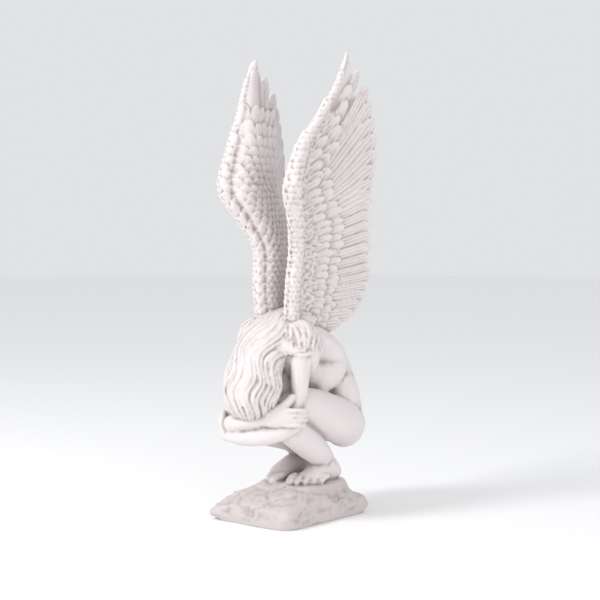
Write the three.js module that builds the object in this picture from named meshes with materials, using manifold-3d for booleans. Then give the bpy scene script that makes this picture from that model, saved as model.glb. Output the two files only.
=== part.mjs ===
// A crouching winged figure on a rock mound, cast as one piece in marble-filled resin.
// The figure faces -Y and its left side is +X. Millimetres, +Z up. The origin is the
// centre of the flat underside of the rock.
import * as THREE from "three";
import { mergeVertices } from "three/addons/utils/BufferGeometryUtils.js";
import Module from "manifold-3d";

const wasm = await Module();
wasm.setup();

// Driving dimensions
const ROCK_HALF_WIDTH = 79; // X
const ROCK_HALF_LENGTH = 108; // Y
const ROCK_EDGE = 22; // height of the rock's side wall
const ROCK_CROWN = 36; // how far the mound rises above its side wall
const FOOT_SOLE = 55; // height of the soles
const WING_TIP = 741; // height of the wing tips, and of the statue
const FEATHER_COUNT = 19; // flight feathers along one wing
const FEATHER_NOTCH = 9; // how deep the gap between two feather ends is
const COLOUR = 0xe9e3e0;

const at = (x, y, z) => new THREE.Vector3(x, y, z);

// A closed three.js geometry as a manifold-3d solid.
function solid(geometry) {
  const bare = geometry.clone();
  bare.deleteAttribute("normal");
  bare.deleteAttribute("uv");
  const merged = mergeVertices(bare, 1e-4);
  return new wasm.Manifold(
    new wasm.Mesh({
      numProp: 3,
      vertProperties: merged.attributes.position.array,
      triVerts: new Uint32Array(merged.index.array),
    }),
  );
}

// A closed skin over rings of points, with a point at each end.
function skin(rings, first, last) {
  const sides = rings[0].length;
  const points = [first, ...rings.flat(), last];
  const faces = [];
  const id = (ring, side) => 1 + ring * sides + (side % sides);
  for (let side = 0; side < sides; side++) {
    faces.push(0, id(0, side + 1), id(0, side));
    for (let ring = 0; ring + 1 < rings.length; ring++) {
      faces.push(id(ring, side), id(ring, side + 1), id(ring + 1, side + 1));
      faces.push(id(ring, side), id(ring + 1, side + 1), id(ring + 1, side));
    }
    const top = rings.length - 1;
    faces.push(points.length - 1, id(top, side), id(top, side + 1));
  }
  const geometry = new THREE.BufferGeometry().setFromPoints(points);
  geometry.setIndex(faces);
  const made = solid(geometry);
  if (made.volume() > 0) return made;
  for (let i = 0; i < faces.length; i += 3)
    [faces[i + 1], faces[i + 2]] = [faces[i + 2], faces[i + 1]];
  geometry.setIndex(faces);
  return solid(geometry);
}

// A limb through stations [x, y, z, half width across, half depth], rounded at both ends.
function limb(stations, sides = 12, steps = 8, across = at(1, 0, 0)) {
  const path = new THREE.CatmullRomCurve3(
    stations.map(([x, y, z]) => at(x, y, z)),
    false,
    "centripetal",
  );
  const last = stations.length - 1;
  const sizeAt = (t, index) => {
    const place = Math.min(t * last, last - 1e-6);
    const low = Math.floor(place);
    const share = place - low;
    const size = (station) => station[index] ?? station[3];
    return (
      size(stations[low]) * (1 - share) + size(stations[low + 1]) * share
    );
  };
  const rings = [];
  for (let step = 0; step <= steps; step++) {
    const t = step / steps;
    const centre = path.getPoint(t);
    const along = path.getTangent(t);
    const wide = across.clone().addScaledVector(along, -across.dot(along));
    wide.normalize();
    const deep = along.clone().cross(wide);
    const ring = [];
    for (let side = 0; side < sides; side++) {
      const turn = (2 * Math.PI * side) / sides;
      ring.push(
        centre
          .clone()
          .addScaledVector(wide, Math.cos(turn) * sizeAt(t, 3))
          .addScaledVector(deep, Math.sin(turn) * sizeAt(t, 4)),
      );
    }
    rings.push(ring);
  }
  const end = (t, sign, index) =>
    path
      .getPoint(t)
      .addScaledVector(path.getTangent(t), sign * sizeAt(t, index) * 0.6);
  return skin(rings, end(0, -1, 4), end(1, 1, 4));
}

function ball(centre, radii, sides = 12) {
  const sphere = new THREE.SphereGeometry(1, sides, Math.round(sides * 0.7));
  sphere.scale(...radii);
  sphere.translate(centre.x, centre.y, centre.z);
  return solid(sphere);
}

const mirrored = (stations) => stations.map(([x, ...rest]) => [-x, ...rest]);

// The body: a back arched forward over folded legs.
function torso() {
  const spine = [
    [0, 110, 128, 30, 20],
    [0, 106, 152, 50, 35],
    [0, 102, 182, 48, 33],
    [0, 97, 210, 39, 28],
    [0, 84, 238, 45, 30],
    [0, 58, 264, 55, 33],
    [0, 22, 284, 58, 32],
    [0, -10, 296, 48, 27],
    [0, -36, 296, 24, 20],
    [0, -58, 272, 20, 20],
  ];
  const belly = ball(at(0, 44, 228), [50, 56, 48], 12);
  const hips = [-1, 1].map((side) =>
    ball(at(side * 28, 97, 142), [34, 37, 39], 12),
  );
  const shoulders = [-1, 1].map((side) =>
    ball(at(side * 38, -27, 270), [43, 39, 46], 10),
  );
  return [limb(spine, 14, 11), belly, ...hips, ...shoulders];
}

// One folded leg. knee, heel and front move those places towards the front.
function leg(side, knee, heel, front) {
  const thigh = [
    [33, 94, 145, 35],
    [37, 50, 160, 37],
    [38, 0, 180, 32],
    [37, -36 - knee, 188, 26],
    [35, -60 - knee, 184, 22],
  ];
  const shin = [
    [35, -62 - knee, 164, 23],
    [35, -36 - knee, 146, 24],
    [34, 0 - heel, 121, 23],
    [33, 24 - heel, 104, 20],
    [32, 42 - heel, 88, 16],
    [31, 52 - heel, 74, 14],
  ];
  const foot = [
    [30, 68 - heel, 67, 13, 13],
    [31, 56 - heel, 72, 16, 18],
    [31, 34 - heel, 74, 17, 20],
    [31, 8 - front, 66, 22, 13],
    [30, -6 - front, 61, 22, 7],
  ];
  const pose = (stations) => (side > 0 ? stations : mirrored(stations));
  return [
    limb(pose(thigh), 12, 7),
    limb(pose(shin), 12, 7),
    limb(pose(foot), 12, 7),
    ...toes(side, front),
  ];
}

function toes(side, forward) {
  const row = [];
  for (let toe = 0; toe < 5; toe++) {
    const big = toe === 0;
    const x = 15 + toe * 9;
    const back = -18 + toe * 3 + toe * toe * 1.4 - forward;
    const root = [side * (x - 4), back + 16, 62, big ? 7 : 5.2];
    const tip = [side * x, back - 3, 59.5, big ? 6.4 : 4.8];
    row.push(limb([root, tip], 6, 1));
  }
  return row;
}

// Both arms hang outside the knees. Each forearm crosses in front of the shins, and
// each hand holds the other arm at its elbow.
function arms() {
  const leftUpper = [
    [54, -26, 284, 22],
    [56, -42, 264, 20],
    [57, -48, 236, 15],
    [58, -51, 208, 12.5],
    [58, -56, 170, 13],
  ];
  const leftFore = [
    [58, -60, 160, 13],
    [42, -78, 148, 14],
    [14, -94, 141, 15],
    [-18, -104, 138, 13],
    [-38, -107, 139, 10],
  ];
  const rightUpper = [
    [-54, -26, 284, 22],
    [-57, -44, 254, 18],
    [-57, -62, 212, 14],
    [-54, -80, 176, 12.5],
    [-52, -92, 154, 13],
  ];
  const rightFore = [
    [-52, -94, 152, 13],
    [-28, -108, 160, 13.5],
    [2, -108, 165, 12],
    [24, -98, 168, 10],
  ];
  const rightHand = [
    [24, -98, 168, 10, 9],
    [42, -90, 172, 14, 8],
    [61, -75, 173, 14, 7],
  ];
  const leftHand = [
    [-36, -106, 138, 10, 9],
    [-50, -106, 144, 13, 8],
    [-62, -99, 151, 13, 7],
  ];
  const upright = at(0, 0, 1);
  const pieces = [
    limb(leftUpper, 10, 7),
    limb(leftFore, 10, 6, upright),
    limb(rightUpper, 10, 7),
    limb(rightFore, 10, 5, upright),
    limb(rightHand, 8, 3, upright),
    limb(leftHand, 8, 3, upright),
  ];
  for (let finger = 0; finger < 4; finger++) {
    const rise = 9.5 - finger * 6.4;
    pieces.push(
      limb(
        [
          [58, -79, 173 + rise, 4],
          [70, -69, 172 + rise, 3.8],
          [73, -56, 171 + rise, 3.4],
        ],
        6,
        2,
        upright,
      ),
      limb(
        [
          [-56, -102, 150 + rise, 4],
          [-67, -92, 153 + rise, 3.8],
          [-68, -77, 153 + rise, 3.3],
        ],
        6,
        2,
        upright,
      ),
    );
  }
  const thumbs = [
    limb([[34, -94, 178, 8], [48, -78, 190, 8], [54, -65, 203, 6]], 7, 4),
    limb([[-47, -108, 149, 7], [-53, -107, 162, 6], [-56, -101, 174, 5]], 7, 4),
  ];
  return [...pieces, ...thumbs];
}

// Long hair falls from the upper back over the bowed head, in a mass with raised locks.
function hair() {
  const mass = [
    [0, 38, 313, 16, 7],
    [0, 11, 317, 35, 17],
    [0, -26, 308, 41, 24],
    [0, -61, 284, 40, 31],
    [0, -85, 252, 42, 37],
    [0, -93, 220, 44, 44],
    [0, -96, 192, 39, 39],
    [0, -92, 171, 21, 21],
  ];
  const locks = [];
  const LOCKS = 7;
  for (let lock = 0; lock < LOCKS; lock++) {
    const turn = Math.PI * (0.04 + (0.92 * lock) / (LOCKS - 1));
    const stations = mass.slice(1).map(([x, y, z, wide, deep], row) => {
      const sway = turn + 0.16 * Math.sin(row * 1.9 + lock);
      const out = Math.cos(sway) * wide * 0.93;
      const front = Math.sin(sway) * deep * 0.93;
      const lean = 0.35 + row * 0.1;
      return [
        x + out,
        y - front * Math.min(1, lean),
        z + front * Math.max(0, 1 - lean),
        6 - row * 0.35,
      ];
    });
    locks.push(limb(stations, 6, 6));
  }
  return [limb(mass, 14, 9), ...locks];
}

// Rows of one wing from its root upwards: height, then the leading edge's x and y, the
// trailing edge's x and y, the radius of the scaled limb along the leading edge, and how
// far the sheet bows towards the other wing.
const WING_ROWS = [
  [300, 30, -31, 32, 64, 11.5, 4],
  [330, 33, -37, 49, 101, 11.5, 11],
  [380, 37, -38, 65, 116, 11, 17],
  [433, 41, -35, 75, 107, 11, 22],
  [480, 57, -55, 84, 93, 12, 28],
  [528, 72, -80, 91, 87, 13, 34],
  [594, 75, -60, 98, 89, 10, 29],
  [640, 86, -31, 98, 80, 7, 17],
  [690, 96, -4, 97, 64, 5, 7],
  [722, 96.5, 11, 97, 42, 4, 3],
];
const wingCurve = (column) =>
  new THREE.CatmullRomCurve3(
    WING_ROWS.map((row) => at(row[column], row[column + 1], row[0])),
    false,
    "centripetal",
  );
const LEADING = wingCurve(1);
const TRAILING = wingCurve(3);

function wingBow(span) {
  const place = Math.min(span, 0.9999) * (WING_ROWS.length - 1);
  const row = Math.floor(place);
  const share = place - row;
  return WING_ROWS[row][6] * (1 - share) + WING_ROWS[row + 1][6] * share;
}

// The feather ends stand proud of the trailing edge and leave a notch between them.
function featherEnd(span) {
  const phase = (span * FEATHER_COUNT) % 1;
  return FEATHER_NOTCH * (1 - Math.pow(Math.abs(2 * phase - 1), 2.5));
}

// A point of the wing's middle sheet, with span from root to tip and chord from 0 to 1.
function wingPoint(side, span, chord) {
  const front = LEADING.getPoint(span);
  const rear = TRAILING.getPoint(span);
  rear.y += featherEnd(span) * Math.max(0, 1 - span * 0.9);
  rear.z += featherEnd(span) * span * 0.8;
  const point = front.lerp(rear, chord);
  point.x -= wingBow(span) * Math.sin(Math.PI * Math.pow(chord, 0.63));
  point.x *= side;
  return point;
}

function wing(side) {
  const SPANS = 2 * FEATHER_COUNT;
  const CHORDS = 3;
  const rings = [];
  for (let row = 0; row <= SPANS; row++) {
    const span = row / SPANS;
    const ring = [];
    const thick = (chord) => (5.5 - 2.6 * chord) * (1 - 0.35 * span);
    for (let step = 0; step <= CHORDS; step++) {
      const chord = step / CHORDS;
      const point = wingPoint(side, span, chord);
      point.x += side * thick(chord);
      ring.push(point);
    }
    for (let step = CHORDS; step >= 0; step--) {
      const chord = step / CHORDS;
      const point = wingPoint(side, span, chord);
      point.x -= side * thick(chord);
      ring.push(point);
    }
    rings.push(ring);
  }
  const middle = (ring) =>
    ring
      .reduce((sum, point) => sum.add(point), at(0, 0, 0))
      .divideScalar(ring.length);
  const tip = at(side * 96, 23, WING_TIP);
  const root = middle(rings[0]);
  root.z -= 4;
  const arm = WING_ROWS.map(([z, x, y, , , radius]) => [
    side * x,
    y,
    z,
    radius * 0.85,
    radius,
  ]);
  return [
    skin(rings, root, tip),
    limb([[side * 30, -16, 276, 12], ...arm], 7, 16),
  ];
}

// The rock: a lumpy mound on a rounded rectangle, flat underneath.
function rock() {
  const SECTORS = 28;
  const RINGS = 6;
  const SQUARENESS = 8;
  const edge = (turn) => {
    const c = Math.abs(Math.cos(turn) / ROCK_HALF_WIDTH);
    const s = Math.abs(Math.sin(turn) / ROCK_HALF_LENGTH);
    const round = Math.pow(c ** SQUARENESS + s ** SQUARENESS, -1 / SQUARENESS);
    return round * (0.985 + 0.015 * Math.sin(5 * turn + 1) * Math.cos(3 * turn));
  };
  const lumps = (x, y) =>
    2.5 * Math.sin(x / 11 + 1) * Math.cos(y / 14) + 2 * Math.sin((x + y) / 9);
  const rings = [];
  const ring = (share, height) => {
    const points = [];
    for (let sector = 0; sector < SECTORS; sector++) {
      const turn = (2 * Math.PI * sector) / SECTORS;
      const reach = edge(turn) * share;
      const x = Math.cos(turn) * reach;
      const y = Math.sin(turn) * reach;
      points.push(at(x, y, height(x, y)));
    }
    rings.push(points);
  };
  ring(0.98, () => 0);
  ring(1, () => ROCK_EDGE * 0.5);
  for (let step = 0; step < RINGS; step++) {
    const share = 0.98 * (1 - step / RINGS);
    const mound = Math.pow(1 - share ** 2, 0.75);
    ring(share, (x, y) => {
      const level = ROCK_EDGE + ROCK_CROWN * mound + lumps(x, y) * share;
      return Math.min(level, FOOT_SOLE + 4);
    });
  }
  return [skin(rings, at(0, 0, 0), at(0, 0, FOOT_SOLE + 3))];
}

function casting() {
  const pieces = [
    ...rock(),
    ...torso(),
    ...leg(1, 0, 0, 0),
    ...leg(-1, 6, -20, 9),
    ...arms(),
    ball(at(0, -82, 226), [27, 34, 38], 10),
    ...hair(),
    ...wing(1),
    ...wing(-1),
  ];
  return pieces.reduce((whole, piece) => whole.add(piece));
}

const joined = casting().getMesh();
const geometry = new THREE.BufferGeometry()
  .setAttribute(
    "position",
    new THREE.BufferAttribute(joined.vertProperties, joined.numProp),
  )
  .setIndex(new THREE.BufferAttribute(joined.triVerts, 1));
const marble = new THREE.MeshStandardMaterial({
  color: COLOUR,
  roughness: 0.6,
  metalness: 0,
});
const statue = new THREE.Mesh(geometry, marble);
statue.name = "angel_statue";

const group = new THREE.Group();
group.add(statue);
export default group;
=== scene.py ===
"""A crouching winged figure on a rock mound, one casting in marble-filled resin.

The figure faces -Y and its left side is +X. Tables of stations are in millimetres.
"""

import math
import random

import bmesh
import bpy
import numpy as np
from mathutils import Matrix, Vector, noise
from mathutils.bvhtree import BVHTree


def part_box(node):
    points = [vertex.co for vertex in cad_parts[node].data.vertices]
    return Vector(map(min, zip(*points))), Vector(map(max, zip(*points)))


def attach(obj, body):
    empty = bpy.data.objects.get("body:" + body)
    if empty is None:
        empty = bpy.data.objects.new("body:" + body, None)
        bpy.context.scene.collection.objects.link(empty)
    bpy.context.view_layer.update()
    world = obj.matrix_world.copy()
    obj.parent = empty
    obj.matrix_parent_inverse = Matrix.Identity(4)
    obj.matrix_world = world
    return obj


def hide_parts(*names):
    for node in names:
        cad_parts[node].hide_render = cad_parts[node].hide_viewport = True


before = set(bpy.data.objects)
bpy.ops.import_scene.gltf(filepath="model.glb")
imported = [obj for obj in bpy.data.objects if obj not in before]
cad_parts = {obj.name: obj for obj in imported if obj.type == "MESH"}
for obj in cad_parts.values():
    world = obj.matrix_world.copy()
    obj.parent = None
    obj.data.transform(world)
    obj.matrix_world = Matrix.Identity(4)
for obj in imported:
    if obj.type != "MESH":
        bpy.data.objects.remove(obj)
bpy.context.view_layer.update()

bl_info = {
    "name": "Cemetery Angel Statue",
    "version": (1, 0, 0),
    "blender": (4, 5, 0),
    "location": "3D View > Sidebar > Angel",
    "description": "Builds a cast marble memorial angel on its rock, and a studio stage for it",
    "category": "Add Mesh",
}

MM = 0.001
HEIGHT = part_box("angel_statue")[1].z
WING_TIP = HEIGHT / MM
ROCK_HALF_WIDTH = 80.0
ROCK_HALF_LENGTH = 109.0
ROCK_EDGE = 22.0  # height of the rock's side wall
FOOT_SOLE = 55.0  # height of the soles
MOST_TRIANGLES = 196000  # kept in the finished skin
PAINTED_SHADE_REACH = 60 * MM  # how near a form has to be to shelter a place and give it painted shade

VIEW_TURN = math.radians(40)  # the camera's way round from the front to the left side
VIEW_DISTANCE = 2.204
VIEW_AIM = (0.074, -0.068)
LENS = 86.16


# ---------------------------------------------------------------- curves and skins


def spline(rows, places):
    """Rows of numbers as a smooth curve, read at places from 0 to 1 (Catmull-Rom)."""
    rows = np.array(rows, float)
    last = len(rows) - 1
    t = np.clip(np.atleast_1d(places), 0, 1) * last
    low = np.minimum(t.astype(int), last - 1)
    share = (t - low)[:, None]
    padded = np.vstack([2 * rows[0] - rows[1], rows, 2 * rows[-1] - rows[-2]])
    a, b, c, d = (padded[low + k] for k in range(4))
    return 0.5 * (
        2 * b
        + (c - a) * share
        + (2 * a - 5 * b + 4 * c - d) * share**2
        + (3 * b - a - 3 * c + d) * share**3
    )


def unit(v):
    """Each vector at a length of one."""
    return v / np.maximum(np.linalg.norm(v, axis=-1, keepdims=True), 1e-9)


def loft(bm, rings):
    """A closed skin over rings of points in millimetres, each bridged to the next."""
    skin = bmesh.new()
    loops = []
    for ring in rings:
        made = bmesh.ops.create_circle(skin, segments=len(ring), radius=1)
        verts = made["verts"]
        for vert, point in zip(verts, ring):
            vert.co = Vector(point) * MM
        loops.append(list({e for v in verts for e in v.link_edges}))
    for low, high in zip(loops, loops[1:]):
        bmesh.ops.bridge_loops(skin, edges=low + high)
    for end in (loops[0], loops[-1]):
        bmesh.ops.contextual_create(skin, geom=end)
    bmesh.ops.recalc_face_normals(skin, faces=skin.faces)
    mesh = bpy.data.meshes.new("skin")
    skin.to_mesh(mesh)
    skin.free()
    bm.from_mesh(mesh)
    bpy.data.meshes.remove(mesh)


def limb(bm, stations, sides=16, steps=12, across=(1, 0, 0), section=None):
    """A limb through stations [x, y, z, half width, half depth], rounded at both ends.
    section gives the ring's share of the radius at each angle round it."""
    rows = [list(s) + ([s[3]] if len(s) == 4 else []) for s in stations]
    places = np.linspace(0, 1, steps + 1)
    rows = spline(rows, places)
    along = unit(np.gradient(rows[:, :3], axis=0))
    across = np.array(across, float)
    wide = unit(across - (along @ across)[:, None] * along)
    deep = np.cross(along, wide)
    turns = np.arange(sides) * 2 * math.pi / sides
    share = np.ones(sides) if section is None else section(turns)
    rings = []

    def ring(row, push, size):
        centre = rows[row, :3] + along[row] * push
        return (
            centre
            + np.outer(np.cos(turns) * share, wide[row]) * rows[row, 3] * size
            + np.outer(np.sin(turns) * share, deep[row]) * rows[row, 4] * size
        )

    # two smaller rings round off each end
    first, last = min(rows[0, 3:5]), min(rows[-1, 3:5])
    for lean in (0.25, 0.75):
        angle = lean * math.pi / 2
        rings.append(ring(0, -first * math.cos(angle), math.sin(angle)))
    rings += [ring(row, 0, 1) for row in range(len(rows))]
    for lean in (0.75, 0.25):
        angle = lean * math.pi / 2
        rings.append(ring(-1, last * math.cos(angle), math.sin(angle)))
    loft(bm, rings)


def lump(bm, centre, radii, turn=0.0, lean=0.0):
    """A muscle or a joint as an ellipsoid, turned about X by lean and Z by turn."""
    place = (
        Matrix.Translation(Vector(centre) * MM)
        @ Matrix.Rotation(math.radians(turn), 4, "Z")
        @ Matrix.Rotation(math.radians(lean), 4, "X")
        @ Matrix.Diagonal((*(r * MM for r in radii), 1))
    )
    bmesh.ops.create_icosphere(bm, subdivisions=3, radius=1, matrix=place)


def mirrored(stations):
    """The same limb on the other side of the body."""
    return [[-s[0], *s[1:]] for s in stations]


def to_object(bm, name):
    """The forms as an object of the scene, with their faces pointing outwards."""
    bmesh.ops.recalc_face_normals(bm, faces=bm.faces)
    mesh = bpy.data.meshes.new(name)
    bm.to_mesh(mesh)
    bm.free()
    made = bpy.data.objects.new(name, mesh)
    bpy.context.scene.collection.objects.link(made)
    return made


def settle(piece):
    """Puts the piece's modifiers into its mesh."""
    bpy.context.view_layer.update()
    graph = bpy.context.evaluated_depsgraph_get()
    mesh = bpy.data.meshes.new_from_object(piece.evaluated_get(graph))
    piece.modifiers.clear()
    old = piece.data
    piece.data = mesh
    bpy.data.meshes.remove(old)
    return piece


def fuse(piece, voxel, smooth=0, factor=0.5):
    """Melts the overlapping forms of a piece into one skin, as a mould does."""
    remesh = piece.modifiers.new("fuse", "REMESH")
    remesh.mode = "VOXEL"
    remesh.voxel_size = voxel * MM
    remesh.use_smooth_shade = True
    if smooth:
        soft = piece.modifiers.new("soften", "SMOOTH")
        soft.iterations = smooth
        soft.factor = factor
    return settle(piece)


def points_of(mesh):
    """The mesh's points, one a row, in metres."""
    values = np.zeros(len(mesh.vertices) * 3, np.float32)
    mesh.vertices.foreach_get("co", values)
    return values.reshape(-1, 3).astype(float)


def normals_of(mesh):
    """The way that the skin faces at each point."""
    values = np.zeros(len(mesh.vertices) * 3, np.float32)
    mesh.vertex_normals.foreach_get("vector", values)
    return values.reshape(-1, 3).astype(float)


def place_points(mesh, points):
    """Moves the mesh's points to new places, in metres."""
    mesh.vertices.foreach_set("co", np.asarray(points, np.float32).ravel())
    mesh.update()


# ---------------------------------------------------------------- the figure


def carve_torso(bm):
    """The back arched forward over the thighs, with its hips, ribs and shoulder blades."""
    spine = [
        [0, 112, 126, 32, 22],
        [0, 108, 152, 53, 36],
        [0, 107, 182, 50, 34],
        [0, 102, 210, 45, 29],
        [0, 86, 238, 46, 30],
        [0, 58, 262, 56, 33],
        [0, 22, 282, 58, 32],
        [0, -10, 292, 48, 28],
        [0, -36, 292, 26, 22],
        [0, -58, 270, 21, 21],
    ]
    limb(bm, spine, 28, 22)
    lump(bm, (0, 40, 232), (43, 50, 36), lean=-38)
    lump(bm, (0, 78, 196), (29, 34, 34))
    lump(bm, (0, -24, 266), (50, 30, 24))
    lump(bm, (2, -34, 222), (34, 36, 42))  # breast, between the knees and the hair
    for side in (-1, 1):
        lump(bm, (side * 29, 98, 141), (34, 38, 39))
        lump(bm, (side * 42, 26, 282), (19, 26, 14), lean=-24)  # shoulder blade
        lump(bm, (side * 29, 58, 236), (24, 42, 32), lean=40)  # ribs and flank
        lump(bm, (side * 53, -18, 274), (20, 26, 19), lean=-12)  # shoulder
        lump(bm, (side * 34, 95, 186), (24, 27, 44), lean=8)  # hip
    lump(bm, (0, -82, 226), (27, 34, 38))  # head
    lump(bm, (0, -62, 258), (24, 30, 24))


def carve_leg(bm, side, forward):
    """One folded leg down to its ankle. forward moves the ankle towards the front. The
    right knee reaches further forward than the left one, and its shin is thinner."""
    knee = 6 if side < 0 else 0
    inward = 4 if side < 0 else 0
    thigh = [
        [32, 100, 142, 33],
        [36, 74, 150, 38],
        [38, 40, 163, 36],
        [38, 0, 180, 31],
        [37, -36 - knee, 188, 26],
        [35, -58 - knee, 182, 23],
    ]
    shin = [
        [35, -62 - knee, 160, 23],
        [35, -34 - knee, 142, 24],
        [34 - inward, 0 - forward, 120, 24 - inward],
        [33 - inward, 24 - forward, 104, 21.5 - inward, 22 - inward],
        [32 - inward, 40 - forward, 90, 16 - inward / 2, 21 - inward],
        [31 - inward / 2, 51 - forward, 77, 15, 19],
    ]
    if side < 0:
        thigh, shin = mirrored(thigh), mirrored(shin)
    limb(bm, thigh, 24, 16)
    limb(bm, shin, 24, 16)
    lump(bm, (side * 35, -70 - knee, 174), (18, 14, 19), lean=20)  # knee cap


def carve_foot(bm, side, heel, toes):
    """Heel, arch and five toes that grip the rock, turned a little out. heel and toes
    move the two ends of the foot towards the front."""
    foot = [
        [side * 29, 72 - heel, 66, 13, 13],
        [side * 30, 62 - heel, 71, 16, 18],
        [side * 31, 46 - heel, 77, 16.5, 22],
        [side * 31, 28 - (heel + toes) / 2, 74, 17, 18],
        [side * 30, 12 - toes, 67, 18, 12],
    ]
    limb(bm, foot, 20, 12)
    lump(bm, (side * 31, 14 - toes, 65), (25, 17, 11), turn=side * 46)
    lump(bm, (side * 31, 4 - toes, 58), (24, 12, 5), turn=side * 46)  # ball of the foot
    for ankle in (-1, 1):
        lump(bm, (side * 31 + ankle * 13.5, 45 - heel, 86 - ankle * 3), (4.4, 6.5, 6.5))
    # from the big toe to the little one: half width, place across and along the foot
    toe_row = [[7.2, 14.5, -21], [5.3, 25.5, -17], [5.1, 34.5, -7], [4.9, 43, 4], [4.7, 50.5, 16]]
    for wide, x, y in toe_row:
        back = y - toes
        root = [side * (x - 4), back + 17, 65, wide, wide]
        arch = [side * (x - 1.5), back + 6, 64.5, wide * 0.96, wide * 0.95]
        tip = [side * x, back - 2, 60, wide, wide * 0.9]
        limb(bm, [root, arch, tip], 14, 10)


def carve_arms(bm):
    """Upper arms and forearms. The right forearm crosses above the left one."""
    left_upper = [
        [52, -28, 280, 17, 20],
        [56, -42, 264, 19.5, 21],
        [57, -47, 240, 15.5, 16.5],
        [58, -50, 212, 13, 13.5],
        [58, -55, 188, 11, 11.5],
        [58, -60, 168, 12.5, 12],
    ]
    left_fore = [
        [58, -60, 160, 12],
        [42, -78, 148, 14],
        [14, -94, 141, 15],
        [-18, -104, 138, 13],
        [-38, -107, 139, 10],
    ]
    right_upper = [
        [-53, -30, 286, 20, 23],
        [-57, -44, 256, 17, 18],
        [-57, -62, 212, 14],
        [-54, -80, 176, 12],
        [-52, -92, 154, 13],
    ]
    right_fore = [
        [-52, -94, 152, 13],
        [-28, -108, 160, 13.5],
        [2, -108, 165, 11.5],
        [24, -98, 168, 9.5],
    ]
    for arm in (left_upper, right_upper):
        limb(bm, arm, 20, 14)
    for arm in (left_fore, right_fore):
        limb(bm, arm, 20, 14, across=(0, 0, 1))


def carve_hands(bm):
    """Each hand holds the other arm just above its elbow."""
    up = (0, 0, 1)
    right_palm = [
        [20, -101, 168, 9, 8],
        [38, -92, 171, 14, 8],
        [53, -82, 173, 15.5, 7],
        [62, -74, 173, 14, 6],
    ]
    left_palm = [
        [-34, -106, 137, 9, 8],
        [-48, -107, 143, 13, 8],
        [-59, -101, 150, 14, 7],
    ]
    limb(bm, right_palm, 16, 8, across=up)
    limb(bm, left_palm, 16, 8, across=up)
    for finger, reach in enumerate((0, 2.5, 2, -2)):
        rise = 11.5 - finger * 7.6
        right_finger = [
            [56, -81, 173 + rise, 4.0],
            [67, -73, 172.5 + rise, 3.9],
            [72.5, -63 + reach * 0.3, 172 + rise, 3.7],
            [72, -53 + reach, 171.5 + rise, 3.5],
        ]
        left_finger = [
            [-53, -104, 149 + rise, 4.0],
            [-64, -97, 152 + rise, 3.9],
            [-69, -87, 153 + rise, 3.7],
            [-67, -76 + reach, 153 + rise, 3.4],
        ]
        limb(bm, right_finger, 12, 9, across=up)
        limb(bm, left_finger, 12, 9, across=up)
    right_thumb = [
        [32, -95, 177, 8],
        [43, -85, 183, 8.5],
        [50, -75, 191, 8],
        [55, -64, 203, 6.5],
    ]
    left_thumb = [
        [-46, -108, 148, 7],
        [-51, -109, 157, 6.6],
        [-54, -106, 166, 5.8],
        [-56, -101, 174, 4.8],
    ]
    limb(bm, right_thumb, 12, 10)
    limb(bm, left_thumb, 12, 10)


# ---------------------------------------------------------------- the hair

# The mass of hair from the upper back over the bowed head: x, y, z, half width, half depth
HAIR_MASS = [
    [0, 40, 312, 14, 6],
    [0, 12, 317, 34, 15],
    [0, -26, 308, 40, 23],
    [0, -62, 284, 38, 29],
    [0, -85, 252, 40, 35],
    [0, -93, 220, 43, 43],
    [0, -96, 192, 38, 38],
    [0, -92, 171, 20, 20],
]
# the middle and the radii of the mound of locks over the left shoulder
SHOULDER = np.array((40.0, -33.0, 272.0))
SHOULDER_ROUND = np.array((40.0, 33.0, 46.0))


def hair_point(places, turns, lift):
    """A point on the hair mass: places along it from 0 to 1, turns round it from the left
    side over the outside, in radians, and lift above its surface in millimetres."""
    rows = spline(HAIR_MASS, places)
    along = unit(
        spline(HAIR_MASS, places + 0.01)[:, :3] - spline(HAIR_MASS, places - 0.01)[:, :3]
    )
    outward = np.cross(along, (1.0, 0, 0))
    out = np.cos(turns)[:, None] * np.array((1.0, 0, 0)) * (rows[:, 3:4] + lift)
    return rows[:, :3] + out + outward * np.sin(turns)[:, None] * (rows[:, 4:5] + lift)


def strands(turns):
    """A lock's section, ridged into a few strands."""
    return 1 + 0.15 * np.cos(5 * turns) + 0.1 * np.cos(9 * turns + 1)


def lay_hair(bm, settings):
    """Three layers of wavy locks over the mass of hair, and the locks at each side."""
    dice = random.Random(11)
    limb(bm, HAIR_MASS, 40, 30)
    count = settings.hair_locks
    for layer in range(3):
        for lock in range(count):
            turn = math.pi * (-0.16 + 1.32 * (lock + dice.uniform(0.2, 0.8)) / count)
            start = (0.04, 0.2, 0.38)[layer] + dice.uniform(-0.04, 0.05)
            end = min(1.0, (0.62, 0.86, 1.0)[layer] + dice.uniform(-0.08, 0.08))
            places = np.linspace(start, end, 17)
            phase = dice.uniform(-0.4, 0.4) + turn * 1.1
            calm = np.clip(1.35 - places, 0.25, 1)
            sway = 0.2 * np.sin(places * 24 + phase) + 0.09 * np.sin(places * 11 + 2 * turn)
            sway = sway * calm
            size = dice.uniform(4.6, 6.6) * (1, 0.95, 0.8)[layer]
            taper = np.sin(np.linspace(0.35, math.pi - 0.25, 17)) ** 0.6
            lift = (1.6, 1.2, 0.6)[layer] + dice.uniform(-0.6, 0.8)
            middle = hair_point(places, turn + sway, lift)
            rows = [
                [*point, size * w, size * w * 0.72] for point, w in zip(middle, taper)
            ]
            tangent = (-math.sin(turn), 0.0, math.cos(turn) * 0.3)
            limb(bm, rows, 18, 30, across=tangent, section=strands)
    for side in (-1, 1):
        lay_shoulder_locks(bm, dice, side)
        lay_sweeping_locks(bm, dice, side)
        lay_ring_lock(bm, side)


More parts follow.
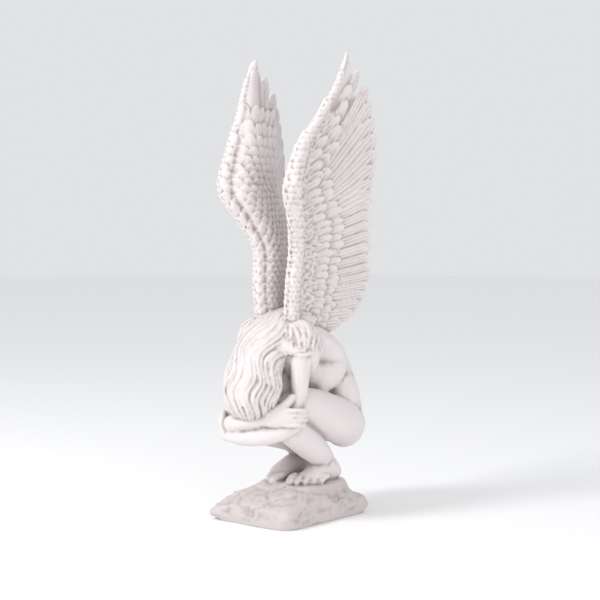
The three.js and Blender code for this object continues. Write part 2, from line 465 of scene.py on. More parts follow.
def lay_shoulder_locks(bm, dice, side):
    """Locks that part from the nape and fall all round the shoulder, in two layers."""
    crown = unit(np.array((-0.8, 0.42, 0.62)))
    lump(bm, (side * SHOULDER[0], *SHOULDER[1:]), SHOULDER_ROUND * 0.97)
    for layer in range(2):
        count = 15 - 3 * layer
        for lock in range(count):
            turn = 66 - 176 * (lock + dice.uniform(0.3, 0.7)) / count
            low = (0.12, 0.4)[layer] + dice.uniform(-0.06, 0.1)
            phase = dice.uniform(0, 2.2) + 0.35 * lock
            swing = (12, -18)[layer] + dice.uniform(-9, 9)
            full = dice.uniform(4.4, 6.2)
            rows = []
            for t in np.arange(13) / 12:
                sway = math.radians(turn + t * (swing + 8 * math.sin(7 * t + phase)))
                end = np.array((math.cos(sway), math.sin(sway), low))
                way = unit(crown * (1 - t) + unit(end) * t)
                out = 0.97 + 0.02 * math.sin(8 * t + phase) + 0.03 * layer
                x, y, z = SHOULDER + SHOULDER_ROUND * way * out
                wide = full * math.sin(math.pi * (0.2 + 0.74 * t)) ** 0.7
                rows.append([side * x, y, z, wide, wide * 0.8])
            limb(bm, rows, 18, 28, across=(0.6 * side, -0.8, 0), section=strands)


def lay_sweeping_locks(bm, dice, side):
    """Long locks that sweep from the nape across the hollow beside the neck."""
    high = [[6, 2, 320], [26, -18, 316], [44, -34, 306], [60, -46, 292], [72, -54, 277]]
    low = [[4, -22, 327], [20, -48, 314], [34, -64, 297], [44, -72, 282], [51, -68, 270]]
    lump(bm, (side * 32, -45, 281), (15, 22, 21), turn=side * -20)
    for lock in range(12):
        share = 1.4 * lock / 11 + dice.uniform(-0.04, 0.04)
        phase = dice.uniform(0, 1.6) + 0.8 * lock
        between = np.array(high) * (1 - share) + np.array(low) * share
        rows = []
        for step, (x, y, z) in enumerate(spline(between, np.linspace(0, 1, 13))):
            t = step / 12
            wave = 3.4 * math.sin(7.5 * t + phase) * min(1, 3 * t)
            wide = 5.2 * math.sin(math.pi * (0.16 + 0.76 * t)) ** 0.7
            rows.append([side * (x + 0.4 * wave), y + 0.8 * wave, z, wide, wide * 0.8])
        limb(bm, rows, 18, 28, across=(0.5 * side, 0.8, 0), section=strands)


def lay_ring_lock(bm, side):
    """A lock that curls round the top of the upper arm, under the ends of the others."""
    rows = []
    for t in np.arange(11) / 10:
        turn = math.radians(50 - 190 * t)
        out = 1.5 * math.sin(8 * t)
        x = side * (56 + (18.5 + out) * math.cos(turn))
        y = -42 + (20.5 + out) * math.sin(turn)
        z = 272 + 2.5 * math.sin(7 * t + 1)
        wide = 2.7 * math.sin(math.pi * (0.15 + 0.75 * t)) ** 0.6
        rows.append([x, y, z, wide * 1.3, wide])
    limb(bm, rows, 16, 22, across=(0, 0, 1), section=strands)


# ---------------------------------------------------------------- the wings

# One wing from its root upwards: height, the leading edge's x and y, the trailing edge's
# x and y, the radius of the scaled arm, and how far the sheet bows towards the other wing.
FRONT_X, FRONT_Y, BACK_X, BACK_Y, ARM, BOW = range(1, 7)
WING_ROWS = np.array(
    [
        [300, 30, -31, 32, 64, 9.5, 4],
        [330, 33, -37, 49, 101, 9.2, 11],
        [380, 37, -38, 65, 116, 8.6, 17],
        [433, 41, -35, 75, 107, 8.6, 22],
        [480, 57, -55, 84, 93, 9.6, 28],
        [528, 72, -80, 91, 87, 10.5, 34],
        [594, 75, -60, 98, 89, 7.2, 29],
        [640, 86, -31, 98, 80, 4.8, 17],
        [690, 97, -4, 97, 64, 3.4, 7],
        [722, 98.5, 10, 97, 42, 2.8, 3],
        [741, 96.5, 20, 96.5, 25, 2.2, 1],
    ],
    float,
)


def smooth_rows(rows):
    """The rows at every 2 mm of height, on a smooth curve."""
    places = np.linspace(0, 1, 400)
    curve = spline(rows, places)
    heights = np.arange(rows[0, 0], rows[-1, 0] + 1, 2.0)
    columns = [np.interp(heights, curve[:, 0], curve[:, k]) for k in range(7)]
    return np.array(columns).T


WING_TABLE = smooth_rows(WING_ROWS)


def wing_row(z):
    """The wing's numbers at heights z."""
    z = np.atleast_1d(z)
    return np.array([np.interp(z, WING_TABLE[:, 0], WING_TABLE[:, k]) for k in range(7)]).T


def wing_sheet(y, z):
    """The x of the left wing's middle sheet at each y and z."""
    row = wing_row(z)
    chord = (y - row[:, FRONT_Y]) / np.maximum(row[:, BACK_Y] - row[:, FRONT_Y], 4)
    inside = np.clip(chord, 0, 1)
    # the bow is deepest a third of the way back
    bow = row[:, BOW] * np.sin(math.pi * inside**0.63)
    return row[:, FRONT_X] + (row[:, BACK_X] - row[:, FRONT_X]) * np.clip(chord, -0.1, 1.1) - bow


def arm_swell(y, z):
    """How far the inner face stands out at each place, beside the wing's arm and round
    its front."""
    row = wing_row(z)
    behind = y - row[:, FRONT_Y]
    most = np.interp(z, [300, 433, 528, 600, 660, 722, 741], [9.6, 9, 12, 8.6, 5.2, 3, 1])
    reach = np.maximum(0.4 * (row[:, BACK_Y] - row[:, FRONT_Y]), 4)
    flat = np.clip(1 - (behind / reach) ** 2, 0, 1) ** 1.6
    round_arm = np.clip(1 - (behind / (row[:, ARM] + 1)) ** 2, 0, 1) ** 0.5
    return most * np.where(behind < 0, round_arm, flat)


def arm_slant(z):
    """How fast the leading edge runs back as it rises, at each height."""
    return (wing_row(z + 4)[:, FRONT_Y] - wing_row(z - 4)[:, FRONT_Y]) / 8


def feather_slope(z):
    """How steeply the feathers rise, in degrees from straight back, at each height."""
    heights = [300, 340, 380, 430, 480, 528, 594, 660, 741]
    return float(np.interp(z, heights, [4, 10, 15, 21, 29, 40, 54, 68, 80]))


def feather_blank(across, along, point, ridges, crown, groove):
    """A feather as it is carved: a rounded blade, thick enough to stand proud, with a
    raised middle (crown) and grooves between its barbs. Across from -1 to 1, along from
    0 to 1, up from 0 to 1."""
    bm = bmesh.new()
    bmesh.ops.create_grid(bm, x_segments=across, y_segments=along, size=1)
    for vert in bm.verts:
        # the rows of faces lie closer together towards the tip
        place = 1 - (1 - (vert.co.y + 1) / 2) ** 1.35
        # the blade widens from its root and rounds off at its tip
        start = min(1.0, 0.7 + place * 1.2)
        end = max(0.0, 1 - max(0.0, (place - 1 + point) / point) ** 2.2) ** 0.5
        height = 1 - groove - crown * vert.co.x**2
        height += groove * math.cos(ridges * math.pi * vert.co.x)
        vert.co = (vert.co.x * start * max(end, 0.12), place, height)
    floor = bmesh.ops.extrude_face_region(bm, geom=bm.faces[:])
    for item in floor["geom"]:
        if isinstance(item, bmesh.types.BMVert):
            item.co.z = 0
    bmesh.ops.recalc_face_normals(bm, faces=bm.faces)
    mesh = bpy.data.meshes.new("feather_blank")
    bm.to_mesh(mesh)
    bm.free()
    return mesh


class Feathers:
    """Lays feathers on the left wing, in the plane of its side view."""

    def __init__(self):
        self.bm = bmesh.new()
        self.blanks = {}

    def blank(self, *key):
        if key not in self.blanks:
            mesh = feather_blank(*key)
            self.blanks[key] = (mesh, points_of(mesh))
        return self.blanks[key]

    def add(self, mesh, points):
        place_points(mesh, points * MM)
        self.bm.from_mesh(mesh)

    def lay(self, root, slope, size, side, up, kind, sweep=0.0, roll=0.0):
        """A feather from root (y, z) with its size (length, width, thickness). side is 1
        for the outer face and -1 for the inner one. up is how far the root and the tip
        lie above the sheet. sweep bends it towards the wing tip, in degrees."""
        mesh, blank = self.blank(*kind)
        length, width, thick = size
        along = blank[:, 1]
        angle = np.radians(slope + sweep * along)
        middle = np.radians(slope + sweep * along / 2)
        reach = along * length
        aside = blank[:, 0] * width / 2
        y = root[0] + np.cos(middle) * reach - np.sin(angle) * aside
        z = root[1] + np.sin(middle) * reach + np.cos(angle) * aside
        z = np.minimum(z, WING_TIP)
        lift = up[0] + (up[1] - up[0]) * along + blank[:, 2] * thick
        lift += roll * blank[:, 0]
        if side < 0:
            # in front of the arm's middle a feather wraps round it, up to 86 degrees
            row = wing_row(z)
            radius = row[:, ARM] + 1
            wrap = np.clip((row[:, FRONT_Y] - y) / radius, 0, 1.5)
            y = np.where(wrap > 0, row[:, FRONT_Y] - radius * np.sin(wrap), y)
            x = wing_sheet(y, z) - arm_swell(y, z) - lift * np.cos(wrap)
            y = y - lift * np.sin(wrap)
        else:
            x = wing_sheet(y, z) + lift
        self.add(mesh, np.column_stack([x, y, z]))

    def lay_on_arm(self, height, turn, size, slope, kind):
        """A scale on the wing's arm at that height, turned round it from its front
        towards the outer face, in degrees."""
        mesh, blank = self.blank(*kind)
        length, width, thick = size
        lean = math.radians(slope)
        along = blank[:, 1] * length
        aside = blank[:, 0] * width / 2
        z = height + along * math.cos(lean) - aside * math.sin(lean)
        row = wing_row(z)
        radius = row[:, ARM]
        swing = np.radians(turn) + (along * math.sin(lean) + aside * math.cos(lean)) / radius
        lift = radius - 1.9 + blank[:, 1] * 3.1 + blank[:, 2] * thick
        x = row[:, FRONT_X] + np.sin(swing) * lift
        # the arm is round across its own slant
        slant = np.sqrt(1 + arm_slant(z) ** 2)
        y = row[:, FRONT_Y] - np.cos(swing) * lift * slant
        self.add(mesh, np.column_stack([x, y, np.minimum(z, WING_TIP)]))


# Blanks: faces across and along, the tip's share of the length, ridges, crown, groove
FLIGHT = (18, 14, 0.2, 4, 0.36, 0.18)
COVERT = (9, 9, 0.42, 2, 0.22, 0.12)
SCALE = (7, 8, 0.62, 1, 0.18, 0.0)
TUFT = (4, 5, 0.7, 1, 0.4, 0.0)


def trailing_y(z):
    """How far back the wing reaches at that height."""
    return float(wing_row(z)[0, BACK_Y])


def lay_flight_feathers(wing, dice):
    """Three fans of long feathers, whose ends make the scalloped trailing edge."""
    fans = [
        # height of the ends from and to, number, length low and high, width, overhang
        (308, 431, 9, 76, 84, 21, 3),
        (434, 524, 6, 84, 98, 23, 3),
        (514, 740, 10, 100, 150, 28, 3),
    ]
    for low, high, count, short, long, width, over in fans:
        for index in range(count):
            share = index / (count - 1)
            end_z = low + (high - low) * share
            slope = feather_slope(end_z)
            # each fan steps back where the one above it begins
            back = 6 * max(0, share - 0.7) / 0.3 if high < 700 else 9 * max(0, share - 0.8) / 0.2
            end_y = trailing_y(end_z) + over - back
            length = short + (long - short) * share
            if high > 700:
                length = np.interp(share, [0, 0.4, 1], [104, 156, 120])
                width = float(np.interp(share, [0, 0.7, 1], [29, 26, 16]))
            bend = 10 if high < 700 else 16
            middle = math.radians(slope - bend / 2)
            root = (end_y - math.cos(middle) * length, end_z - math.sin(middle) * length)
            front = float(wing_row(max(root[1], 300))[0, FRONT_Y]) + 8
            if root[0] < front:
                shift = (front - root[0]) / max(math.cos(middle), 0.2)
                length -= shift
                root = (front, end_z - math.sin(middle) * length)
            outer = (length, width + dice.uniform(-1, 1), 3.2)
            inner = (length, width, 2.8)
            up = (-0.4, -0.2)
            wing.lay(root, slope - bend, outer, 1, up, FLIGHT, sweep=bend, roll=1.9)
            wing.lay(root, slope - bend, inner, -1, up, FLIGHT, sweep=bend, roll=-1.4)


def lay_coverts(wing, dice):
    """Rows of short feathers on the outer face, over the roots of the flight feathers."""
    rows = [
        # chord of the roots, length and width low down and at the wrist, lift, top
        (0.43, 30, 42, 12, 16, (0.2, 3.0), 660),
        (0.35, 22, 34, 10.5, 14, (0.8, 4.2), 590),
    ]
    for chord, short, long, narrow, wide, up, top in rows:
        z = 306.0 + dice.uniform(0, 4)
        while z < top:
            rise = min(1.0, max(0.0, (z - 330) / 230))
            row = wing_row(z)[0]
            width = (narrow + (wide - narrow) * rise) * dice.uniform(0.88, 1.1)
            length = (short + (long - short) * rise) * dice.uniform(0.88, 1.12)
            if z > 610:
                length *= 0.8
            y = row[FRONT_Y] + (row[BACK_Y] - row[FRONT_Y]) * (chord + dice.uniform(-0.02, 0.02))
            slope = feather_slope(z + 12) - 4 + dice.uniform(-7, 7)
            size = (length, width * 1.1, 2.2)
            wing.lay((y, z), slope, size, 1, up, COVERT, sweep=6, roll=0.6)
            z += width * 0.86 / max(math.cos(math.radians(slope)), 0.55)


def lay_down(wing, dice):
    """Fine tufts in the hollow behind the wing's arm, on the outer face."""
    z = 306.0
    while z < 640:
        row = wing_row(z)[0]
        depth = row[BACK_Y] - row[FRONT_Y]
        for step in range(8):
            chord = 0.08 + 0.038 * step + dice.uniform(-0.014, 0.014)
            slope = feather_slope(z) + dice.uniform(-32, 38)
            size = (dice.uniform(8, 14), dice.uniform(3.4, 5.2), 1.2)
            up = (1.0, 2.9 + 0.1 * step)
            y = row[FRONT_Y] + depth * chord
            wing.lay((y, z + dice.uniform(-2, 2)), slope, size, 1, up, TUFT)
        z += 4.6


def lay_arm_scales(wing, dice):
    """Small rounded scales from the outer side of the wing's arm round to its front, and
    a little further above the scales of the inner face."""
    z = 292.0
    odd = 0
    while z < 700:
        row = wing_row(max(z, 300))[0]
        radius = row[ARM]
        grown = np.interp(z, [300, 430, 530, 600, 700], [0, 0.1, 1, 0.6, 0.0])
        width = 8.6 + 3.8 * grown
        length = 11.5 + 3.0 * grown
        span = 136 if z < 630 else 180
        count = max(3, round(math.radians(span) * radius / (width * 0.92)))
        for index in range(count + 1):
            turn = 112 - span * (index + 0.5 * odd) / count
            slope = -4 + turn * 0.06 + dice.uniform(-5, 5)
            size = (length * dice.uniform(0.94, 1.06), width, 1.9)
            wing.lay_on_arm(z, turn, size, slope, SCALE)
        odd = 1 - odd
        z += length * 0.66


def lay_inner_scales(wing, dice):
    """Overlapping scales from the front of the arm across the inner face, small at the
    root and large at the wrist, then rows of longer ones below the feathers of the tip."""
    z = 298.0
    odd = 0
    while z < 640:
        row = wing_row(max(z, 300))[0]
        depth = row[BACK_Y] - row[FRONT_Y]
        width = float(np.interp(z, [300, 420, 520, 580, 640], [10, 12, 16.5, 15, 13]))
        length = float(np.interp(z, [300, 420, 520, 560, 600, 640], [13, 14, 16.5, 20, 36, 46]))
        reach = float(np.interp(z, [300, 400, 520, 600, 640], [0.66, 0.68, 0.66, 0.6, 0.5]))
        steep = min(112.0, math.degrees(math.atan2(1, float(arm_slant(z + 12)[0]))))
        # each row starts on the round of the arm, and every other one half a scale on
        y = row[FRONT_Y] - 1.3 * row[ARM] + odd * width * 0.5
        while y < row[FRONT_Y] + depth * reach:
            chord = (y - row[FRONT_Y]) / depth
            # the scales fan out backwards, and less so towards the tip
            slope = steep - chord * 60 * (1 - 0.5 * min(1, max(0, (z - 480) / 160)))
            slope += dice.uniform(-4, 4)
            size = (length * dice.uniform(0.95, 1.08), width * 1.02, 2.0)
            kind = SCALE if z < 560 else COVERT
            lean = math.radians(slope)
            end = (y + length * math.cos(lean), z + length * math.sin(lean))
            # a scale whose tip would run past the front of the arm is left out
            if end[0] > wing_row(min(end[1], WING_TIP))[0, FRONT_Y] - 1.7 * row[ARM]:
                tip = 3.4 + 1.4 * min(1, max(0, y - row[FRONT_Y]) / 25)
                wing.lay((y, z), slope, size, -1, (0.3, tip), kind)
            y += width * 0.92 / max(math.sin(lean), 0.6)
        odd = 1 - odd
        z += length * (0.62 if z < 560 else 0.6)


def wing_core(bm):
    """The solid sheet inside the feathers, and the wing's arm along its leading edge."""
    rings = []
    for z in np.linspace(296, 722, 54):
        row = wing_row(z)[0]
        chords = np.linspace(0.0, 0.84 - 0.3 * max(0, (z - 640) / 82), 14)
        level = np.full(14, z)
        y = row[FRONT_Y] + (row[BACK_Y] - row[FRONT_Y]) * chords
        x = wing_sheet(y, level)
        half = np.maximum(2.7 - 2.2 * chords, 1.35)
        # on the inner face the sheet runs on smoothly from the round of the arm
        swell = arm_swell(y, level)
        there = np.column_stack([x + half, y, level])
        back = np.column_stack([x - half - swell, y, level])[::-1]
        rings.append(np.vstack([there, back]))
    loft(bm, rings)
    arm = [[30, 2, 276, 11, 12]]
    for z, x, y, _, _, radius, _ in wing_row(np.linspace(300, 741, 40))[:-1]:
        arm.append([x, y, z, radius, radius * 1.06])
    limb(bm, arm, 18, 90)


def carve_wings():
    """The left wing laid up feather by feather, then mirrored for the right one."""
    dice = random.Random(5)
    wing = Feathers()
    wing_core(wing.bm)
    lay_flight_feathers(wing, dice)
    lay_coverts(wing, dice)
    lay_down(wing, dice)
    lay_arm_scales(wing, dice)
    lay_inner_scales(wing, dice)
    for mesh, _ in wing.blanks.values():
        bpy.data.meshes.remove(mesh)
    bm = wing.bm
    copy = bmesh.ops.duplicate(bm, geom=bm.faces[:])
    new = [g for g in copy["geom"] if isinstance(g, bmesh.types.BMVert)]
    faces = [g for g in copy["geom"] if isinstance(g, bmesh.types.BMFace)]
    bmesh.ops.scale(bm, vec=(-1, 1, 1), verts=new)
    bmesh.ops.reverse_faces(bm, faces=faces)
    return bm


# ---------------------------------------------------------------- the rock


def rock_reach(turn):
    """How far the rock's edge is from its centre, in that direction."""
    c = abs(math.cos(turn) / ROCK_HALF_WIDTH)
    s = abs(math.sin(turn) / ROCK_HALF_LENGTH)
    even = (c**8 + s**8) ** (-1 / 8)
    return even * (0.985 + 0.015 * math.sin(5 * turn + 1) * math.cos(3 * turn))


def drift(spot):
    """A smooth way to lean at each place, the same one every time."""
    shifts = (Vector((0, 0, 0)), Vector((31.7, -17.3, 9.1)), Vector((-12.9, 44.3, 23.7)))
    return Vector([noise.noise(spot + shift) for shift in shifts])


def chipped(point, size):
    """Flat chipped facets with sharp changes between them, from about -1 to 1."""
    distances, centres = noise.voronoi(point / size)
    tilt = drift(centres[0] * 3.1)
    crack = 0.22 * max(0.0, 1 - (distances[1] - distances[0]) / 0.1)
    return (point / size - centres[0]).dot(tilt) * 1.5 + tilt.x * 0.8 - crack


def carve_rock(bm):
    """The mound: a block with a flat underside, a low side wall and a rounded top."""
    sectors, rings = 168, []

    def ring(share, level, ledge=0.0):
        points = []
        for sector in range(sectors):
            turn = 2 * math.pi * sector / sectors
            # the right front and left back corners stand out in blunt noses
            nose = ledge * math.exp(-(((turn - math.radians(233)) / 0.16) ** 2))
            nose += 0.6 * ledge * math.exp(-(((turn - math.radians(52)) / 0.2) ** 2))
            reach = rock_reach(turn) * share + nose
            x, y = math.cos(turn) * reach, math.sin(turn) * reach
            points.append((x, y, level))
        rings.append(points)

    for step in range(6):
        up = step / 5.5
        ring(0.965 + 0.02 * math.sin(up * 3), ROCK_EDGE * up, 15 * math.sin(up * 2.6))
    for step in range(34):
        share = 0.965 * (1 - step / 34) ** 0.9
        crown = 36 * (1 - share**2) ** 0.75
        ring(share, ROCK_EDGE + crown, 9 * max(0, share - 0.8) / 0.2)
    loft(bm, rings)


def weather_rock(piece, settings):
    """Chips and wears the rock, but leaves its underside flat."""
    mesh = piece.data
    points = points_of(mesh) / MM
    normals = normals_of(mesh)
    made = []
    strength = settings.rock_relief
    for p, n in zip(points, normals):
        if p[2] < 0.6:  # on the underside
            made.append(p)
            continue
        spot = Vector(p)
        # the facets are wide and low, as layers of stone are
        flat = Vector((p[0] / 1.5, p[1] / 1.5, p[2] * 1.2))
        warp = drift(spot / 24) * 6
        wear = 4.6 * chipped(flat + warp, 34) + 1.3 * chipped(flat - warp, 14)
        wear += 3.0 * noise.noise(spot / 20) + 0.8 * noise.noise(spot / 6)
        grip = min(1.0, p[2] / 9)
        q = p + n * wear * grip * strength
        q[2] = min(max(q[2], 0.3), FOOT_SOLE + 5)
        # the top is trodden level under each foot
        for side in (1, -1):
            under = ((q[0] - side * 33) / 27) ** 2 + ((q[1] - 27) / 62) ** 2
            if under < 1.3 and p[2] > ROCK_EDGE + 8:
                tread = FOOT_SOLE - 0.5 + 0.25 * wear
                q[2] += (tread - q[2]) * min(1.0, (1.3 - under) / 0.4)
        made.append(q)
    place_points(mesh, np.array(made) * MM)


# ---------------------------------------------------------------- the casting


def join(pieces, name):
    """The pieces as one object."""
    bm = bmesh.new()
    for piece in pieces:
        bm.from_mesh(piece.data)
        mesh = piece.data
        bpy.data.objects.remove(piece)
        bpy.data.meshes.remove(mesh)
    return to_object(bm, name)


def drop_specks(mesh):
    """Removes the specks that fusing left inside the skin, and keeps the one large shell."""
    bm = bmesh.new()
    bm.from_mesh(mesh)
    waiting = set(bm.verts)
    shells = []
    while waiting:
        reached = [waiting.pop()]
        for vert in reached:  # the list grows while it is read
            for edge in vert.link_edges:
                other = edge.other_vert(vert)
                if other in waiting:
                    waiting.remove(other)
                    reached.append(other)
        shells.append(reached)
    shells.sort(key=len)
    specks = [vert for shell in shells[:-1] for vert in shell]
    bmesh.ops.delete(bm, geom=specks, context="VERTS")
    bm.to_mesh(mesh)
    bm.free()


def rings_of(mesh):
    """Each edge's two ends, and how many edges meet at each point."""
    ends = np.zeros(len(mesh.edges) * 2, np.int64)
    mesh.edges.foreach_get("vertices", ends)
    ends = ends.reshape(-1, 2)
    count = np.bincount(ends.ravel(), minlength=len(mesh.vertices))
    return ends, np.maximum(count, 1)


def spread(values, ends, count, times):
    """Values averaged with their neighbours, that many times."""
    for _ in range(times):
        total = np.bincount(ends[:, 0], values[ends[:, 1]], len(values))
        total += np.bincount(ends[:, 1], values[ends[:, 0]], len(values))
        values = 0.5 * values + 0.5 * total / count
    return values


def hollowness(mesh, soften):
    """How far each point lies below the average of the skin round it, in millimetres."""
    points, normals = points_of(mesh) / MM, normals_of(mesh)
    ends, count = rings_of(mesh)
    even = np.column_stack([spread(points[:, k], ends, count, soften) for k in range(3)])
    return np.einsum("ij,ij->i", even - points, normals)


def mark(mesh, name, values):
    """Keeps a number for each point, for the finish to read."""
    layer = mesh.attributes.new(name, "FLOAT", "POINT")
    layer.data.foreach_set("value", np.asarray(values, np.float32))


def shelter(mesh):
    """How closed in each point is, from 0 to 1, by the forms that lie near it, for the painted
    shade that stands in for their shadow.
    """
    points, normals = points_of(mesh), normals_of(mesh)
    tree = BVHTree.FromPolygons(
        points.tolist(), [tuple(face.vertices) for face in mesh.polygons]
    )
    # ways spread evenly over a ball, bent towards each point's own normal
    count = 10
    level = 1 - 2 * (np.arange(count) + 0.5) / count
    turn = np.arange(count) * math.pi * (3 - math.sqrt(5))
    ways = np.column_stack(
        [np.cos(turn) * np.sqrt(1 - level**2), np.sin(turn) * np.sqrt(1 - level**2), level]
    )
    met = np.zeros(len(points))
    starts = (points + normals * 0.6 * MM).tolist()
    for way in ways:
        aims = unit(normals + way * 0.95).tolist()
        for index, (start, aim) in enumerate(zip(starts, aims)):
            if tree.ray_cast(start, aim, PAINTED_SHADE_REACH)[0] is not None:
                met[index] += 1
    ends, around = rings_of(mesh)
    return spread(met / count, ends, around, 8)


def mark_zones(mesh):
    """Marks the crevices and the rock, for the finish: the crevice mark darkens hollows, partly
    as grime and partly as painted shade.
    """
    points = points_of(mesh) / MM
    fine = np.clip(hollowness(mesh, 4) / 0.42, 0, 1)
    broad = np.clip(hollowness(mesh, 40) / 3.0, 0, 1)
    ends, count = rings_of(mesh)
    rock = np.clip((FOOT_SOLE + 3 - points[:, 2]) / 5, 0, 1)
    # the feet are marble, though they reach a little below the top of the rock
    foot = (np.abs(np.abs(points[:, 0]) - 28) < 22) & (np.abs(points[:, 1] - 20) < 62)
    rock = np.where(foot & (points[:, 2] > FOOT_SOLE - 2), 0, rock)
    mark(mesh, "rock", spread(rock, ends, count, 3))
    # sheltered places get painted shade, standing in for the shadow that near forms cast on them
    painted_occlusion = np.clip((shelter(mesh) - 0.55) / 0.5, 0, 1)
    # hollows in the skin are darkened too, partly for grime and partly as painted shade
    dirt_and_shade = np.maximum(fine, broad * 0.8) * (1 - 0.5 * rock)
    dirt_and_shade = np.maximum(dirt_and_shade, painted_occlusion)
    mark(mesh, "shade_and_grime_mask", spread(dirt_and_shade, ends, count, 1))


def build_figure():
    """Torso, legs and arms melted together and smoothed, with crisp hands and feet."""
    soft = bmesh.new()
    carve_torso(soft)
    carve_leg(soft, 1, forward=0)
    carve_leg(soft, -1, forward=-24)
    carve_arms(soft)
    body = fuse(to_object(soft, "body"), 2.2, smooth=13)
    crisp = bmesh.new()
    carve_foot(crisp, 1, heel=0, toes=0)
    carve_foot(crisp, -1, heel=-20, toes=9)
    carve_hands(crisp)
    ends = fuse(to_object(crisp, "hands_and_feet"), 1.2, smooth=3)
    return [body, ends]


def build_casting(settings):
    """Every form of the statue fused into one closed skin and marked for the finish."""
    parts = build_figure()
    hair = bmesh.new()
    lay_hair(hair, settings)
    parts.append(to_object(hair, "hair"))
    parts.append(to_object(carve_wings(), "wings"))
    rock = bmesh.new()
    carve_rock(rock)
    stone = to_object(rock, "rock")
    weather_rock(stone, settings)
    parts.append(stone)
    casting = fuse(join(parts, "angel_casting"), settings.fineness / MM)
    points = points_of(casting.data)
    # the underside is sawn flat
    points[:, 2] = np.where(points[:, 2] < 1.6 * MM, 0.0, points[:, 2])
    place_points(casting.data, points)
    triangles = len(casting.data.polygons) * 2
    thin = casting.modifiers.new("thin_out", "DECIMATE")
    thin.ratio = min(1.0, MOST_TRIANGLES / triangles)
    settle(casting)
    drop_specks(casting.data)
    for face in casting.data.polygons:
        face.use_smooth = True
    mark_zones(casting.data)
    return casting


# ---------------------------------------------------------------- finishes


def colour(code):
    """A colour given as sRGB hex, as the linear numbers that a shader takes."""
    parts = [int(code[i : i + 2], 16) / 255 for i in (1, 3, 5)]
    return [
        *(p / 12.92 if p <= 0.04045 else ((p + 0.055) / 1.055) ** 2.4 for p in parts),
        1.0,
    ]


def add(tree, kind, links=(), **settings):
    """Adds a node. settings are its properties or its sockets' values, and links are
    pairs of a socket's name or number and the output that feeds it."""
    node = tree.nodes.new(kind)
    for name, value in settings.items():
        if hasattr(node, name):
            setattr(node, name, value)
        else:
            node.inputs[name.replace("_", " ")].default_value = value
    for socket, source in links:
        tree.links.new(source, node.inputs[socket])
    return node


def bonded_marble(settings):
    """Marble dust in resin, cast and lightly sealed, with grime and painted shade darkening its
    hollows.
    """
    made = bpy.data.materials.new("bonded_marble")
    made.use_nodes = True
    tree = made.node_tree
    tree.nodes.clear()
    place = add(tree, "ShaderNodeTexCoord").outputs["Object"]
    shade_and_grime_mask = add(tree, "ShaderNodeAttribute", attribute_name="shade_and_grime_mask").outputs["Fac"]
    rock = add(tree, "ShaderNodeAttribute", attribute_name="rock").outputs["Fac"]
    # cloudy patches about 40 mm across and grain under a millimetre
    cloud = add(tree, "ShaderNodeTexNoise", [("Vector", place)], Scale=26.0, Detail=4.0)
    grain = add(tree, "ShaderNodeTexNoise", [("Vector", place)], Scale=1400.0, Detail=2.0)
    pale = add(tree, "ShaderNodeMix", [("Factor", cloud.outputs["Fac"])], data_type="RGBA")
    pale.inputs[6].default_value = settings.marble_shade
    pale.inputs[7].default_value = settings.marble
    stone = add(tree, "ShaderNodeMix", [("Factor", rock)], data_type="RGBA")
    tree.links.new(pale.outputs[2], stone.inputs[6])
    stone.inputs[7].default_value = settings.rock
    # the marked hollows are darkened towards one colour: part grime, part painted shade
    depth = add(tree, "ShaderNodeMath", [(0, shade_and_grime_mask)], operation="MULTIPLY", use_clamp=True)
    depth.inputs[1].default_value = settings.grime_and_shade_amount
    grimy_and_shaded = add(tree, "ShaderNodeMix", [("Factor", depth.outputs[0])], data_type="RGBA")
    tree.links.new(stone.outputs[2], grimy_and_shaded.inputs[6])
    grimy_and_shaded.inputs[7].default_value = settings.grime_and_shade_colour
    relief = add(
        tree,
        "ShaderNodeBump",
        [("Height", grain.outputs["Fac"])],
        Strength=0.12,
        Distance=0.0004,
    )
    shader = add(
        tree,
        "ShaderNodeBsdfPrincipled",
        [("Base Color", grimy_and_shaded.outputs[2]), ("Normal", relief.outputs[0])],
        Roughness=0.52,
    )
    shader.inputs["Specular IOR Level"].default_value = 0.35
    add(tree, "ShaderNodeOutputMaterial", [("Surface", shader.outputs[0])])
    return made


def plain(name, code, roughness):
    """A material of one colour."""
    made = bpy.data.materials.new(name)
    made.use_nodes = True
    shader = made.node_tree.nodes["Principled BSDF"]
    shader.inputs["Base Color"].default_value = colour(code)
    shader.inputs["Roughness"].default_value = roughness
    return made


# ---------------------------------------------------------------- the add-on


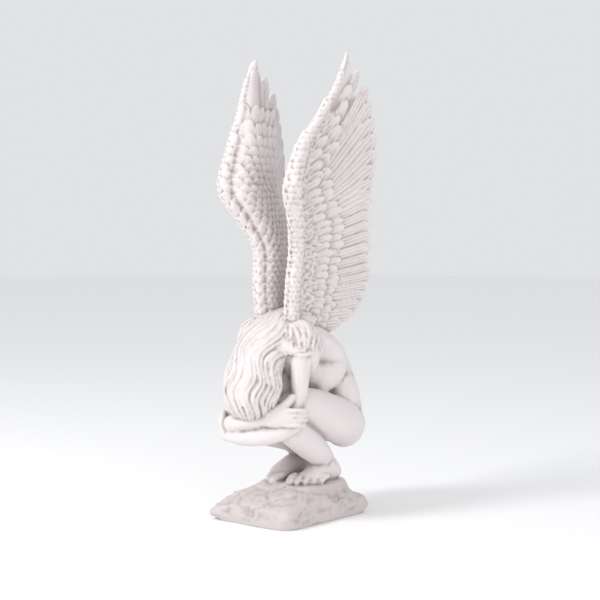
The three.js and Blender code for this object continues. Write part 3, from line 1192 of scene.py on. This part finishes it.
class AngelSettings(bpy.types.PropertyGroup):
    """Sizes and colours of the statue and its stage."""

    fineness: bpy.props.FloatProperty(
        name="Fineness",
        description="Size of the smallest detail that the casting keeps",
        default=0.0012,
        min=0.0008,
        max=0.004,
        unit="LENGTH",
    )
    hair_locks: bpy.props.IntProperty(
        name="Hair locks",
        description="Locks of hair across the head in each of three layers",
        default=21,
        min=6,
        max=40,
    )
    rock_relief: bpy.props.FloatProperty(
        name="Rock relief",
        description="How rough the rock is, as a share of its usual relief",
        default=1.0,
        min=0.0,
        max=2.0,
        subtype="FACTOR",
    )
    marble: bpy.props.FloatVectorProperty(
        name="Marble",
        description="Colour of the clean casting",
        subtype="COLOR",
        size=4,
        default=colour("#ebe3e3"),
    )
    marble_shade: bpy.props.FloatVectorProperty(
        name="Marble shade",
        description="Colour of the casting's slightly darker patches",
        subtype="COLOR",
        size=4,
        default=colour("#e1d8d8"),
    )
    rock: bpy.props.FloatVectorProperty(
        name="Rock",
        description="Colour of the rock, a little greyer than the figure",
        subtype="COLOR",
        size=4,
        default=colour("#cfc6c4"),
    )
    # this colour darkens the hollows, as grime and as painted shade
    grime_and_shade_colour: bpy.props.FloatVectorProperty(
        name="Grime and shade",
        description="Colour of the dust and wash left in the hollows",
        subtype="COLOR",
        size=4,
        default=colour("#80736f"),
    )
    # how strongly the hollows get grime and painted shade
    grime_and_shade_amount: bpy.props.FloatProperty(
        name="Grime amount",
        description="How strongly the hollows are darkened",
        default=0.75,
        min=0.0,
        max=1.0,
        subtype="FACTOR",
    )
    light: bpy.props.FloatProperty(
        name="Light",
        description="Power of the main soft light",
        default=32.0,
        min=0.0,
        max=500.0,
        unit="POWER",
    )


class ANGEL_OT_casting(bpy.types.Operator):
    """Models the statue as one casting and gives it its finish"""

    bl_idname = "angel.casting"
    bl_label = "Angel casting"

    def execute(self, context):
        settings = context.scene.angel
        casting = build_casting(settings)
        casting.data.materials.clear()
        casting.data.materials.append(bonded_marble(settings))
        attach(casting, "root")
        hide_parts("angel_statue")
        return {"FINISHED"}


def area_light(name, place, aim, size, power):
    """A round soft light that points at aim."""
    data = bpy.data.lights.new(name, "AREA")
    data.shape = "DISK"
    data.size = size
    data.energy = power
    made = bpy.data.objects.new(name, data)
    made.location = place
    made.rotation_euler = (Vector(aim) - Vector(place)).to_track_quat("-Z", "Y").to_euler()
    bpy.context.scene.collection.objects.link(made)


class ANGEL_OT_stage(bpy.types.Operator):
    """Adds a pale floor, soft studio light and the camera"""

    bl_idname = "angel.stage"
    bl_label = "Stage"

    def execute(self, context):
        settings = context.scene.angel
        scene = context.scene
        bm = bmesh.new()
        bmesh.ops.create_circle(bm, cap_ends=True, segments=96, radius=9)
        floor = to_object(bm, "floor")
        floor.data.materials.append(plain("studio_floor", "#fafafa", 1.0))
        world = bpy.data.worlds.new("studio")
        world.use_nodes = True
        sky = world.node_tree.nodes["Background"]
        sky.inputs["Color"].default_value = colour("#f6f7f9")
        sky.inputs["Strength"].default_value = 0.82
        scene.world = world
        aim = (0.0, 0.0, 0.34)
        area_light("key", (-0.7, -1.9, 1.9), aim, 0.8, settings.light)
        area_light("fill", (2.0, -1.0, 0.9), aim, 1.6, settings.light * 0.3)
        camera = bpy.data.objects.new("camera", bpy.data.cameras.new("camera"))
        target = Vector((*VIEW_AIM, 0.48 * HEIGHT))
        away = Vector((math.sin(VIEW_TURN), -math.cos(VIEW_TURN), 0)) * VIEW_DISTANCE
        camera.location = target + away + Vector((0, 0, 0.18 * HEIGHT))
        camera.rotation_euler = (target - camera.location).to_track_quat("-Z", "Y").to_euler()
        camera.data.lens = LENS
        camera.data.sensor_width = 36
        scene.collection.objects.link(camera)
        scene.camera = camera
        scene.view_settings.view_transform = "Standard"
        return {"FINISHED"}


class ANGEL_PT_panel(bpy.types.Panel):
    """Lists the statue's settings and the steps that build it"""

    bl_label = "Cemetery Angel"
    bl_space_type = "VIEW_3D"
    bl_region_type = "UI"
    bl_category = "Angel"

    def draw(self, context):
        for name in AngelSettings.__annotations__:
            self.layout.prop(context.scene.angel, name)
        self.layout.operator("angel.casting")
        self.layout.operator("angel.stage")


CLASSES = (AngelSettings, ANGEL_OT_casting, ANGEL_OT_stage, ANGEL_PT_panel)


def register():
    for item in CLASSES:
        bpy.utils.register_class(item)
    bpy.types.Scene.angel = bpy.props.PointerProperty(type=AngelSettings)


def unregister():
    del bpy.types.Scene.angel
    for item in reversed(CLASSES):
        bpy.utils.unregister_class(item)


def main():
    register()
    bpy.ops.angel.casting()
    bpy.ops.angel.stage()


if __name__ == "__main__":
    main()
